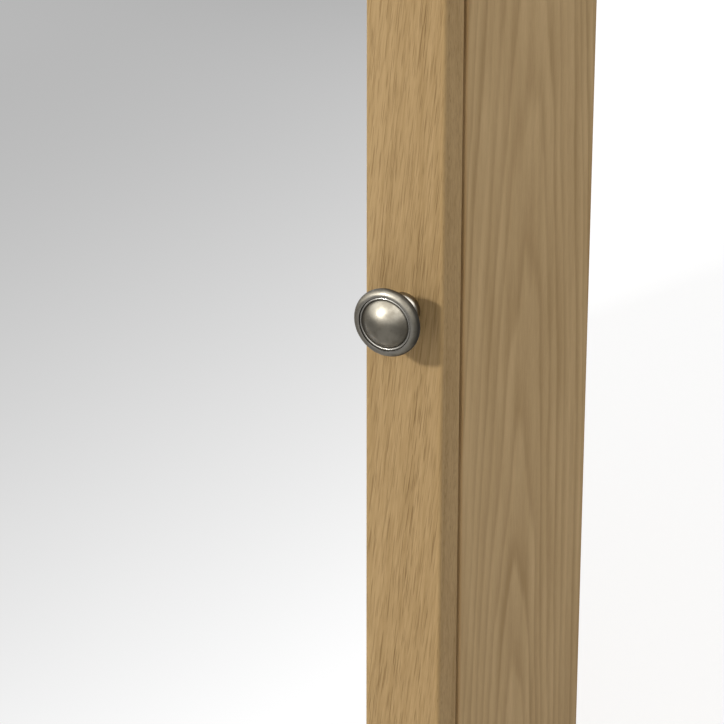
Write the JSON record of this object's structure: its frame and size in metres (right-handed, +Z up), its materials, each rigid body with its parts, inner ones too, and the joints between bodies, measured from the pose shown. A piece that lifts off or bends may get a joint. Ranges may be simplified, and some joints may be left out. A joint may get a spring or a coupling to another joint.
{
  "type": "mirror cabinet",
  "caption": "Wall-hung bathroom cabinet with a mirrored, oak-framed door on butt hinges, a round pewter-finish knob, shelves on pins inside and a magnetic catch.",
  "frame": {"origin": "middle of the back, in the plane that lies against the wall", "axes": "+X towards the knob side, +Y into the wall, +Z up; the door faces -Y"},
  "size_m": [0.4557, 0.1918, 0.64],
  "materials": {
    "oak_frame": "satin lacquer on solid oak",
    "oak_veneer": "satin lacquer on oak veneer",
    "plywood": "bare plywood",
    "beech": "bare beech",
    "hardboard": "hardboard",
    "mirror": "silvered float glass",
    "pewter": "antique pewter plating",
    "hinge_steel": "nickel plating",
    "fittings_steel": "zinc plating",
    "screw_steel": "zinc plating",
    "catch_plastic": "moulded",
    "ferrite": "sintered",
    "bumper_rubber": "soft"
  },
  "bodies": {
    "carcass": {"side_panel_left": "oak_veneer", "side_panel_right": "oak_veneer", "top_board": "oak_veneer", "bottom_board": "oak_veneer", "back_panel": "plywood", "hanging_rail_upper": "oak_frame", "hanging_rail_lower": "oak_frame", "shelf_upper": "oak_veneer", "shelf_lower": "oak_veneer", "shelf_pins_upper": "fittings_steel", "shelf_pins_lower": "fittings_steel", "board_dowels": "beech", "rail_dowels": "beech", "back_screws": "screw_steel", "hinge_upper_carcass_leaf": "hinge_steel", "hinge_lower_carcass_leaf": "hinge_steel", "hinge_upper_pin": "hinge_steel", "hinge_lower_pin": "hinge_steel", "hinge_carcass_screws": "screw_steel", "catch_housing": "catch_plastic", "catch_magnet": "ferrite", "catch_pole_plates": "fittings_steel", "catch_screws": "screw_steel"},
    "door": {"door_stile_knob": "oak_frame", "door_stile_hinge": "oak_frame", "door_rail_top": "oak_frame", "door_rail_bottom": "oak_frame", "mirror_glass": "mirror", "mirror_backing": "hardboard", "bead_knob_side": "oak_frame", "bead_hinge_side": "oak_frame", "bead_top": "oak_frame", "bead_bottom": "oak_frame", "bead_pins": "screw_steel", "knob": "pewter", "knob_washer": "fittings_steel", "knob_screw": "screw_steel", "hinge_upper_door_leaf": "hinge_steel", "hinge_lower_door_leaf": "hinge_steel", "hinge_door_screws": "screw_steel", "striker_plate": "fittings_steel", "striker_screw": "screw_steel", "door_bumpers": "bumper_rubber"}
  },
  "joints": [
    {"name": "door_hinge", "type": "hinge", "parent": "carcass", "child": "door", "pos_m": [-0.228, -0.14665, 0], "axis": [0, 0, -1], "range_deg": [0, 180]}
  ]
}
